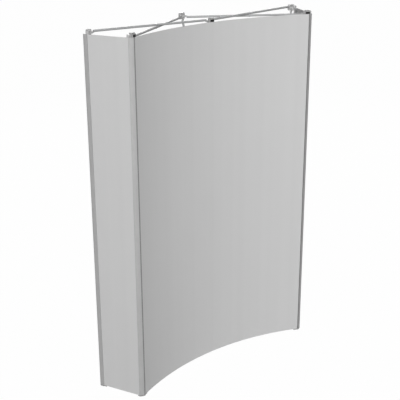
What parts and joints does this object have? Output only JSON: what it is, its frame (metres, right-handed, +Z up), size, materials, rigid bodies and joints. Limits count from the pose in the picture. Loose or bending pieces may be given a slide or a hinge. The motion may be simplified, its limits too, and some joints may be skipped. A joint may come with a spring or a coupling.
{
  "type": "pop up display backwall",
  "caption": "Curved pop up display backwall: a folding scissor frame of tubes and hubs carries magnetic bars with blank front and end panels.",
  "frame": {"origin": "on the floor, at the middle of the whole object's width and depth, opened", "axes": "+Z up; -Y is the hollow front side that the viewer sees; +X to the viewer's right"},
  "size_m": [1.6352, 0.4526, 2.248],
  "materials": {
    "tube": "satin drawn tube",
    "hub": "fine moulded grain, with black caps on the front hubs",
    "panel": "blank matt laminate on a roll-up sheet",
    "bar": "satin, with fine ribs along its length"
  },
  "bodies": {
    "front_hub_left_1": {"front_hub_left_1": "hub"},
    "front_hub_left_2": {"front_hub_left_2": "hub"},
    "front_hub_left_3": {"front_hub_left_3": "hub"},
    "front_hub_left_4": {"front_hub_left_4": "hub"},
    "front_hub_middle_1": {"front_hub_middle_1": "hub"},
    "front_hub_middle_2": {"front_hub_middle_2": "hub"},
    "front_hub_middle_3": {"front_hub_middle_3": "hub"},
    "front_hub_middle_4": {"front_hub_middle_4": "hub"},
    "front_hub_right_1": {"front_hub_right_1": "hub"},
    "front_hub_right_2": {"front_hub_right_2": "hub"},
    "front_hub_right_3": {"front_hub_right_3": "hub"},
    "front_hub_right_4": {"front_hub_right_4": "hub"},
    "rear_hub_left_1": {"rear_hub_left_1": "hub"},
    "rear_hub_left_2": {"rear_hub_left_2": "hub"},
    "rear_hub_left_3": {"rear_hub_left_3": "hub"},
    "rear_hub_left_4": {"rear_hub_left_4": "hub"},
    "rear_hub_middle_1": {"rear_hub_middle_1": "hub"},
    "rear_hub_middle_2": {"rear_hub_middle_2": "hub"},
    "rear_hub_middle_3": {"rear_hub_middle_3": "hub"},
    "rear_hub_middle_4": {"rear_hub_middle_4": "hub"},
    "rear_hub_right_1": {"rear_hub_right_1": "hub"},
    "rear_hub_right_2": {"rear_hub_right_2": "hub"},
    "rear_hub_right_3": {"rear_hub_right_3": "hub"},
    "rear_hub_right_4": {"rear_hub_right_4": "hub"},
    "level_tube_left_1_front": {"level_tube_left_1_front": "tube"},
    "level_tube_left_1_rear": {"level_tube_left_1_rear": "tube"},
    "level_tube_left_2_front": {"level_tube_left_2_front": "tube"},
    "level_tube_left_2_rear": {"level_tube_left_2_rear": "tube"},
    "level_tube_left_3_front": {"level_tube_left_3_front": "tube"},
    "level_tube_left_3_rear": {"level_tube_left_3_rear": "tube"},
    "level_tube_left_4_front": {"level_tube_left_4_front": "tube"},
    "level_tube_left_4_rear": {"level_tube_left_4_rear": "tube"},
    "level_tube_right_1_front": {"level_tube_right_1_front": "tube"},
    "level_tube_right_1_rear": {"level_tube_right_1_rear": "tube"},
    "level_tube_right_2_front": {"level_tube_right_2_front": "tube"},
    "level_tube_right_2_rear": {"level_tube_right_2_rear": "tube"},
    "level_tube_right_3_front": {"level_tube_right_3_front": "tube"},
    "level_tube_right_3_rear": {"level_tube_right_3_rear": "tube"},
    "level_tube_right_4_front": {"level_tube_right_4_front": "tube"},
    "level_tube_right_4_rear": {"level_tube_right_4_rear": "tube"},
    "rising_tube_left_1_front": {"rising_tube_left_1_front": "tube"},
    "rising_tube_left_1_rear": {"rising_tube_left_1_rear": "tube"},
    "rising_tube_left_2_front": {"rising_tube_left_2_front": "tube"},
    "rising_tube_left_2_rear": {"rising_tube_left_2_rear": "tube"},
    "rising_tube_left_3_front": {"rising_tube_left_3_front": "tube"},
    "rising_tube_left_3_rear": {"rising_tube_left_3_rear": "tube"},
    "rising_tube_middle_1_front": {"rising_tube_middle_1_front": "tube"},
    "rising_tube_middle_1_rear": {"rising_tube_middle_1_rear": "tube"},
    "rising_tube_middle_2_front": {"rising_tube_middle_2_front": "tube"},
    "rising_tube_middle_2_rear": {"rising_tube_middle_2_rear": "tube"},
    "rising_tube_middle_3_front": {"rising_tube_middle_3_front": "tube"},
    "rising_tube_middle_3_rear": {"rising_tube_middle_3_rear": "tube"},
    "rising_tube_right_1_front": {"rising_tube_right_1_front": "tube"},
    "rising_tube_right_1_rear": {"rising_tube_right_1_rear": "tube"},
    "rising_tube_right_2_front": {"rising_tube_right_2_front": "tube"},
    "rising_tube_right_2_rear": {"rising_tube_right_2_rear": "tube"},
    "rising_tube_right_3_front": {"rising_tube_right_3_front": "tube"},
    "rising_tube_right_3_rear": {"rising_tube_right_3_rear": "tube"},
    "graphic_panels": {"graphic_panels": "panel"},
    "panel_bars": {"panel_bars": "bar"}
  },
  "joints": [
    {"name": "frame_fold", "type": "hinge", "parent": "front_hub_middle_1", "child": "rising_tube_middle_1_front", "pos_m": [0, -0.05066, 0.0475], "axis": [-1, 0, 0], "range_deg": [0, 65]},
    {"name": "rising_tube_middle_1_front_head", "type": "hinge", "parent": "rising_tube_middle_1_front", "child": "rear_hub_middle_2", "pos_m": [0, 0.20934, 0.75099], "axis": [1, 0, 0], "range_deg": [0, 65]},
    {"name": "rising_tube_middle_1_crossing", "type": "hinge", "parent": "rising_tube_middle_1_front", "child": "rising_tube_middle_1_rear", "pos_m": [0, 0.07934, 0.39925], "axis": [1, 0, 0], "range_deg": [0, 130]},
    {"name": "rising_tube_middle_1_rear_foot", "type": "hinge", "parent": "rising_tube_middle_1_rear", "child": "rear_hub_middle_1", "pos_m": [0, 0.20934, 0.0475], "axis": [-1, 0, 0], "range_deg": [0, 65]},
    {"name": "rising_tube_middle_1_rear_head", "type": "hinge", "parent": "rising_tube_middle_1_rear", "child": "front_hub_middle_2", "pos_m": [0, -0.05066, 0.75099], "axis": [-1, 0, 0], "range_deg": [0, 65]},
    {"name": "rising_tube_middle_2_front_foot", "type": "hinge", "parent": "front_hub_middle_2", "child": "rising_tube_middle_2_front", "pos_m": [0, -0.05066, 0.77899], "axis": [-1, 0, 0], "range_deg": [0, 65]},
    {"name": "rising_tube_middle_2_front_head", "type": "hinge", "parent": "rising_tube_middle_2_front", "child": "rear_hub_middle_3", "pos_m": [0, 0.20934, 1.48248], "axis": [1, 0, 0], "range_deg": [0, 65]},
    {"name": "rising_tube_middle_2_rear_foot", "type": "hinge", "parent": "rear_hub_middle_2", "child": "rising_tube_middle_2_rear", "pos_m": [0, 0.20934, 0.77899], "axis": [1, 0, 0], "range_deg": [0, 65]},
    {"name": "rising_tube_middle_2_rear_head", "type": "hinge", "parent": "rising_tube_middle_2_rear", "child": "front_hub_middle_3", "pos_m": [0, -0.05066, 1.48248], "axis": [-1, 0, 0], "range_deg": [0, 65]},
    {"name": "rising_tube_middle_3_front_foot", "type": "hinge", "parent": "front_hub_middle_3", "child": "rising_tube_middle_3_front", "pos_m": [0, -0.05066, 1.51048], "axis": [-1, 0, 0], "range_deg": [0, 65]},
    {"name": "rising_tube_middle_3_front_head", "type": "hinge", "parent": "rising_tube_middle_3_front", "child": "rear_hub_middle_4", "pos_m": [0, 0.20934, 2.21397], "axis": [1, 0, 0], "range_deg": [0, 65]},
    {"name": "rising_tube_middle_3_rear_foot", "type": "hinge", "parent": "rear_hub_middle_3", "child": "rising_tube_middle_3_rear", "pos_m": [0, 0.20934, 1.51048], "axis": [1, 0, 0], "range_deg": [0, 65]},
    {"name": "rising_tube_middle_3_rear_head", "type": "hinge", "parent": "rising_tube_middle_3_rear", "child": "front_hub_middle_4", "pos_m": [0, -0.05066, 2.21397], "axis": [-1, 0, 0], "range_deg": [0, 65]},
    {"name": "level_tube_left_1_front_inner", "type": "hinge", "parent": "front_hub_middle_1", "child": "level_tube_left_1_front", "pos_m": [-0.018, -0.05066, 0.0335], "axis": [0, 0, -1], "range_deg": [0, 76.25]},
    {"name": "level_tube_left_1_front_outer", "type": "hinge", "parent": "level_tube_left_1_front", "child": "rear_hub_left_1", "pos_m": [-0.76102, 0.0514, 0.0335], "axis": [0, 0, 1], "range_deg": [0, 53.75]},
    {"name": "level_tube_left_1_rear_inner", "type": "hinge", "parent": "rear_hub_middle_1", "child": "level_tube_left_1_rear", "pos_m": [-0.018, 0.20934, 0.0335], "axis": [0, 0, 1], "range_deg": [0, 53.75]},
    {"name": "level_tube_left_1_rear_outer", "type": "hinge", "parent": "level_tube_left_1_rear", "child": "front_hub_left_1", "pos_m": [-0.65527, -0.18612, 0.0335], "axis": [0, 0, -1], "range_deg": [0, 76.25]},
    {"name": "level_tube_left_2_front_inner", "type": "hinge", "parent": "front_hub_middle_2", "child": "level_tube_left_2_front", "pos_m": [-0.018, -0.05066, 0.76499], "axis": [0, 0, -1], "range_deg": [0, 76.25]},
    {"name": "level_tube_left_2_front_outer", "type": "hinge", "parent": "level_tube_left_2_front", "child": "rear_hub_left_2", "pos_m": [-0.76102, 0.0514, 0.76499], "axis": [0, 0, 1], "range_deg": [0, 53.75]},
    {"name": "level_tube_left_2_rear_inner", "type": "hinge", "parent": "rear_hub_middle_2", "child": "level_tube_left_2_rear", "pos_m": [-0.018, 0.20934, 0.76499], "axis": [0, 0, 1], "range_deg": [0, 53.75]},
    {"name": "level_tube_left_2_rear_outer", "type": "hinge", "parent": "level_tube_left_2_rear", "child": "front_hub_left_2", "pos_m": [-0.65527, -0.18612, 0.76499], "axis": [0, 0, -1], "range_deg": [0, 76.25]},
    {"name": "level_tube_left_3_front_inner", "type": "hinge", "parent": "front_hub_middle_3", "child": "level_tube_left_3_front", "pos_m": [-0.018, -0.05066, 1.49648], "axis": [0, 0, -1], "range_deg": [0, 76.25]},
    {"name": "level_tube_left_3_front_outer", "type": "hinge", "parent": "level_tube_left_3_front", "child": "rear_hub_left_3", "pos_m": [-0.76102, 0.0514, 1.49648], "axis": [0, 0, 1], "range_deg": [0, 53.75]},
    {"name": "level_tube_left_3_rear_inner", "type": "hinge", "parent": "rear_hub_middle_3", "child": "level_tube_left_3_rear", "pos_m": [-0.018, 0.20934, 1.49648], "axis": [0, 0, 1], "range_deg": [0, 53.75]},
    {"name": "level_tube_left_3_rear_outer", "type": "hinge", "parent": "level_tube_left_3_rear", "child": "front_hub_left_3", "pos_m": [-0.65527, -0.18612, 1.49648], "axis": [0, 0, -1], "range_deg": [0, 76.25]},
    {"name": "level_tube_left_4_front_inner", "type": "hinge", "parent": "front_hub_middle_4", "child": "level_tube_left_4_front", "pos_m": [-0.018, -0.05066, 2.22797], "axis": [0, 0, -1], "range_deg": [0, 76.25]},
    {"name": "level_tube_left_4_front_outer", "type": "hinge", "parent": "level_tube_left_4_front", "child": "rear_hub_left_4", "pos_m": [-0.76102, 0.0514, 2.22797], "axis": [0, 0, 1], "range_deg": [0, 53.75]},
    {"name": "level_tube_left_4_rear_inner", "type": "hinge", "parent": "rear_hub_middle_4", "child": "level_tube_left_4_rear", "pos_m": [-0.018, 0.20934, 2.22797], "axis": [0, 0, 1], "range_deg": [0, 53.75]},
    {"name": "level_tube_left_4_rear_outer", "type": "hinge", "parent": "level_tube_left_4_rear", "child": "front_hub_left_4", "pos_m": [-0.65527, -0.18612, 2.22797], "axis": [0, 0, -1], "range_deg": [0, 76.25]},
    {"name": "rising_tube_left_1_front_foot", "type": "hinge", "parent": "front_hub_left_1", "child": "rising_tube_left_1_front", "pos_m": [-0.67171, -0.19344, 0.0475], "axis": [-0.9135, -0.4067, 0], "range_deg": [0, 65]},
    {"name": "rising_tube_left_1_rear_foot", "type": "hinge", "parent": "rear_hub_left_1", "child": "rising_tube_left_1_rear", "pos_m": [-0.77747, 0.04408, 0.0475], "axis": [0.9135, 0.4067, 0], "range_deg": [0, 65]},
    {"name": "rising_tube_left_2_front_foot", "type": "hinge", "parent": "front_hub_left_2", "child": "rising_tube_left_2_front", "pos_m": [-0.67171, -0.19344, 0.77899], "axis": [-0.9135, -0.4067, 0], "range_deg": [0, 65]},
    {"name": "rising_tube_left_2_rear_foot", "type": "hinge", "parent": "rear_hub_left_2", "child": "rising_tube_left_2_rear", "pos_m": [-0.77747, 0.04408, 0.77899], "axis": [0.9135, 0.4067, 0], "range_deg": [0, 65]},
    {"name": "rising_tube_left_3_front_foot", "type": "hinge", "parent": "front_hub_left_3", "child": "rising_tube_left_3_front", "pos_m": [-0.67171, -0.19344, 1.51048], "axis": [-0.9135, -0.4067, 0], "range_deg": [0, 65]},
    {"name": "rising_tube_left_3_rear_foot", "type": "hinge", "parent": "rear_hub_left_3", "child": "rising_tube_left_3_rear", "pos_m": [-0.77747, 0.04408, 1.51048], "axis": [0.9135, 0.4067, 0], "range_deg": [0, 65]},
    {"name": "level_tube_right_1_front_inner", "type": "hinge", "parent": "front_hub_middle_1", "child": "level_tube_right_1_front", "pos_m": [0.018, -0.05066, 0.0335], "axis": [0, 0, 1], "range_deg": [0, 76.25]},
    {"name": "level_tube_right_1_front_outer", "type": "hinge", "parent": "level_tube_right_1_front", "child": "rear_hub_right_1", "pos_m": [0.76102, 0.0514, 0.0335], "axis": [0, 0, -1], "range_deg": [0, 53.75]},
    {"name": "level_tube_right_1_rear_inner", "type": "hinge", "parent": "rear_hub_middle_1", "child": "level_tube_right_1_rear", "pos_m": [0.018, 0.20934, 0.0335], "axis": [0, 0, -1], "range_deg": [0, 53.75]},
    {"name": "level_tube_right_1_rear_outer", "type": "hinge", "parent": "level_tube_right_1_rear", "child": "front_hub_right_1", "pos_m": [0.65527, -0.18612, 0.0335], "axis": [0, 0, 1], "range_deg": [0, 76.25]},
    {"name": "level_tube_right_2_front_inner", "type": "hinge", "parent": "front_hub_middle_2", "child": "level_tube_right_2_front", "pos_m": [0.018, -0.05066, 0.76499], "axis": [0, 0, 1], "range_deg": [0, 76.25]},
    {"name": "level_tube_right_2_front_outer", "type": "hinge", "parent": "level_tube_right_2_front", "child": "rear_hub_right_2", "pos_m": [0.76102, 0.0514, 0.76499], "axis": [0, 0, -1], "range_deg": [0, 53.75]},
    {"name": "level_tube_right_2_rear_inner", "type": "hinge", "parent": "rear_hub_middle_2", "child": "level_tube_right_2_rear", "pos_m": [0.018, 0.20934, 0.76499], "axis": [0, 0, -1], "range_deg": [0, 53.75]},
    {"name": "level_tube_right_2_rear_outer", "type": "hinge", "parent": "level_tube_right_2_rear", "child": "front_hub_right_2", "pos_m": [0.65527, -0.18612, 0.76499], "axis": [0, 0, 1], "range_deg": [0, 76.25]},
    {"name": "level_tube_right_3_front_inner", "type": "hinge", "parent": "front_hub_middle_3", "child": "level_tube_right_3_front", "pos_m": [0.018, -0.05066, 1.49648], "axis": [0, 0, 1], "range_deg": [0, 76.25]},
    {"name": "level_tube_right_3_front_outer", "type": "hinge", "parent": "level_tube_right_3_front", "child": "rear_hub_right_3", "pos_m": [0.76102, 0.0514, 1.49648], "axis": [0, 0, -1], "range_deg": [0, 53.75]},
    {"name": "level_tube_right_3_rear_inner", "type": "hinge", "parent": "rear_hub_middle_3", "child": "level_tube_right_3_rear", "pos_m": [0.018, 0.20934, 1.49648], "axis": [0, 0, -1], "range_deg": [0, 53.75]},
    {"name": "level_tube_right_3_rear_outer", "type": "hinge", "parent": "level_tube_right_3_rear", "child": "front_hub_right_3", "pos_m": [0.65527, -0.18612, 1.49648], "axis": [0, 0, 1], "range_deg": [0, 76.25]},
    {"name": "level_tube_right_4_front_inner", "type": "hinge", "parent": "front_hub_middle_4", "child": "level_tube_right_4_front", "pos_m": [0.018, -0.05066, 2.22797], "axis": [0, 0, 1], "range_deg": [0, 76.25]},
    {"name": "level_tube_right_4_front_outer", "type": "hinge", "parent": "level_tube_right_4_front", "child": "rear_hub_right_4", "pos_m": [0.76102, 0.0514, 2.22797], "axis": [0, 0, -1], "range_deg": [0, 53.75]},
    {"name": "level_tube_right_4_rear_inner", "type": "hinge", "parent": "rear_hub_middle_4", "child": "level_tube_right_4_rear", "pos_m": [0.018, 0.20934, 2.22797], "axis": [0, 0, -1], "range_deg": [0, 53.75]},
    {"name": "level_tube_right_4_rear_outer", "type": "hinge", "parent": "level_tube_right_4_rear", "child": "front_hub_right_4", "pos_m": [0.65527, -0.18612, 2.22797], "axis": [0, 0, 1], "range_deg": [0, 76.25]},
    {"name": "rising_tube_right_1_front_foot", "type": "hinge", "parent": "front_hub_right_1", "child": "rising_tube_right_1_front", "pos_m": [0.67171, -0.19344, 0.0475], "axis": [-0.9135, 0.4067, 0], "range_deg": [0, 65]},
    {"name": "rising_tube_right_1_rear_foot", "type": "hinge", "parent": "rear_hub_right_1", "child": "rising_tube_right_1_rear", "pos_m": [0.77747, 0.04408, 0.0475], "axis": [0.9135, -0.4067, 0], "range_deg": [0, 65]},
    {"name": "rising_tube_right_2_front_foot", "type": "hinge", "parent": "front_hub_right_2", "child": "rising_tube_right_2_front", "pos_m": [0.67171, -0.19344, 0.77899], "axis": [-0.9135, 0.4067, 0], "range_deg": [0, 65]},
    {"name": "rising_tube_right_2_rear_foot", "type": "hinge", "parent": "rear_hub_right_2", "child": "rising_tube_right_2_rear", "pos_m": [0.77747, 0.04408, 0.77899], "axis": [0.9135, -0.4067, 0], "range_deg": [0, 65]},
    {"name": "rising_tube_right_3_front_foot", "type": "hinge", "parent": "front_hub_right_3", "child": "rising_tube_right_3_front", "pos_m": [0.67171, -0.19344, 1.51048], "axis": [-0.9135, 0.4067, 0], "range_deg": [0, 65]},
    {"name": "rising_tube_right_3_rear_foot", "type": "hinge", "parent": "rear_hub_right_3", "child": "rising_tube_right_3_rear", "pos_m": [0.77747, 0.04408, 1.51048], "axis": [0.9135, -0.4067, 0], "range_deg": [0, 65]},
    {"name": "bars_pull_off", "type": "slide", "parent": "front_hub_middle_1", "child": "panel_bars", "axis": [0, -1, 0], "range_m": [0, 0.4]},
    {"name": "panels_lift_off", "type": "slide", "parent": "panel_bars", "child": "graphic_panels", "axis": [0, 0, 1], "range_m": [0, 0.3]}
  ],
  "couplings": [
    {"joint": "rising_tube_middle_1_front_head", "follows": "frame_fold", "ratio": 1},
    {"joint": "rising_tube_middle_1_crossing", "follows": "frame_fold", "ratio": 2},
    {"joint": "rising_tube_middle_1_rear_foot", "follows": "frame_fold", "ratio": 1},
    {"joint": "rising_tube_middle_1_rear_head", "follows": "frame_fold", "ratio": 1},
    {"joint": "rising_tube_middle_2_front_foot", "follows": "frame_fold", "ratio": 1},
    {"joint": "rising_tube_middle_2_front_head", "follows": "frame_fold", "ratio": 1},
    {"joint": "rising_tube_middle_2_rear_foot", "follows": "frame_fold", "ratio": 1},
    {"joint": "rising_tube_middle_2_rear_head", "follows": "frame_fold", "ratio": 1},
    {"joint": "rising_tube_middle_3_front_foot", "follows": "frame_fold", "ratio": 1},
    {"joint": "rising_tube_middle_3_front_head", "follows": "frame_fold", "ratio": 1},
    {"joint": "rising_tube_middle_3_rear_foot", "follows": "frame_fold", "ratio": 1},
    {"joint": "rising_tube_middle_3_rear_head", "follows": "frame_fold", "ratio": 1},
    {"joint": "level_tube_left_1_front_inner", "follows": "frame_fold", "ratio": 1.1731},
    {"joint": "level_tube_left_1_front_outer", "follows": "frame_fold", "ratio": 0.82692},
    {"joint": "level_tube_left_1_rear_inner", "follows": "frame_fold", "ratio": 0.82692},
    {"joint": "level_tube_left_1_rear_outer", "follows": "frame_fold", "ratio": 1.1731},
    {"joint": "level_tube_left_2_front_inner", "follows": "frame_fold", "ratio": 1.1731},
    {"joint": "level_tube_left_2_front_outer", "follows": "frame_fold", "ratio": 0.82692},
    {"joint": "level_tube_left_2_rear_inner", "follows": "frame_fold", "ratio": 0.82692},
    {"joint": "level_tube_left_2_rear_outer", "follows": "frame_fold", "ratio": 1.1731},
    {"joint": "level_tube_left_3_front_inner", "follows": "frame_fold", "ratio": 1.1731},
    {"joint": "level_tube_left_3_front_outer", "follows": "frame_fold", "ratio": 0.82692},
    {"joint": "level_tube_left_3_rear_inner", "follows": "frame_fold", "ratio": 0.82692},
    {"joint": "level_tube_left_3_rear_outer", "follows": "frame_fold", "ratio": 1.1731},
    {"joint": "level_tube_left_4_front_inner", "follows": "frame_fold", "ratio": 1.1731},
    {"joint": "level_tube_left_4_front_outer", "follows": "frame_fold", "ratio": 0.82692},
    {"joint": "level_tube_left_4_rear_inner", "follows": "frame_fold", "ratio": 0.82692},
    {"joint": "level_tube_left_4_rear_outer", "follows": "frame_fold", "ratio": 1.1731},
    {"joint": "rising_tube_left_1_front_foot", "follows": "frame_fold", "ratio": 1},
    {"joint": "rising_tube_left_1_rear_foot", "follows": "frame_fold", "ratio": 1},
    {"joint": "rising_tube_left_2_front_foot", "follows": "frame_fold", "ratio": 1},
    {"joint": "rising_tube_left_2_rear_foot", "follows": "frame_fold", "ratio": 1},
    {"joint": "rising_tube_left_3_front_foot", "follows": "frame_fold", "ratio": 1},
    {"joint": "rising_tube_left_3_rear_foot", "follows": "frame_fold", "ratio": 1},
    {"joint": "level_tube_right_1_front_inner", "follows": "frame_fold", "ratio": 1.1731},
    {"joint": "level_tube_right_1_front_outer", "follows": "frame_fold", "ratio": 0.82692},
    {"joint": "level_tube_right_1_rear_inner", "follows": "frame_fold", "ratio": 0.82692},
    {"joint": "level_tube_right_1_rear_outer", "follows": "frame_fold", "ratio": 1.1731},
    {"joint": "level_tube_right_2_front_inner", "follows": "frame_fold", "ratio": 1.1731},
    {"joint": "level_tube_right_2_front_outer", "follows": "frame_fold", "ratio": 0.82692},
    {"joint": "level_tube_right_2_rear_inner", "follows": "frame_fold", "ratio": 0.82692},
    {"joint": "level_tube_right_2_rear_outer", "follows": "frame_fold", "ratio": 1.1731},
    {"joint": "level_tube_right_3_front_inner", "follows": "frame_fold", "ratio": 1.1731},
    {"joint": "level_tube_right_3_front_outer", "follows": "frame_fold", "ratio": 0.82692},
    {"joint": "level_tube_right_3_rear_inner", "follows": "frame_fold", "ratio": 0.82692},
    {"joint": "level_tube_right_3_rear_outer", "follows": "frame_fold", "ratio": 1.1731},
    {"joint": "level_tube_right_4_front_inner", "follows": "frame_fold", "ratio": 1.1731},
    {"joint": "level_tube_right_4_front_outer", "follows": "frame_fold", "ratio": 0.82692},
    {"joint": "level_tube_right_4_rear_inner", "follows": "frame_fold", "ratio": 0.82692},
    {"joint": "level_tube_right_4_rear_outer", "follows": "frame_fold", "ratio": 1.1731},
    {"joint": "rising_tube_right_1_front_foot", "follows": "frame_fold", "ratio": 1},
    {"joint": "rising_tube_right_1_rear_foot", "follows": "frame_fold", "ratio": 1},
    {"joint": "rising_tube_right_2_front_foot", "follows": "frame_fold", "ratio": 1},
    {"joint": "rising_tube_right_2_rear_foot", "follows": "frame_fold", "ratio": 1},
    {"joint": "rising_tube_right_3_front_foot", "follows": "frame_fold", "ratio": 1},
    {"joint": "rising_tube_right_3_rear_foot", "follows": "frame_fold", "ratio": 1}
  ]
}
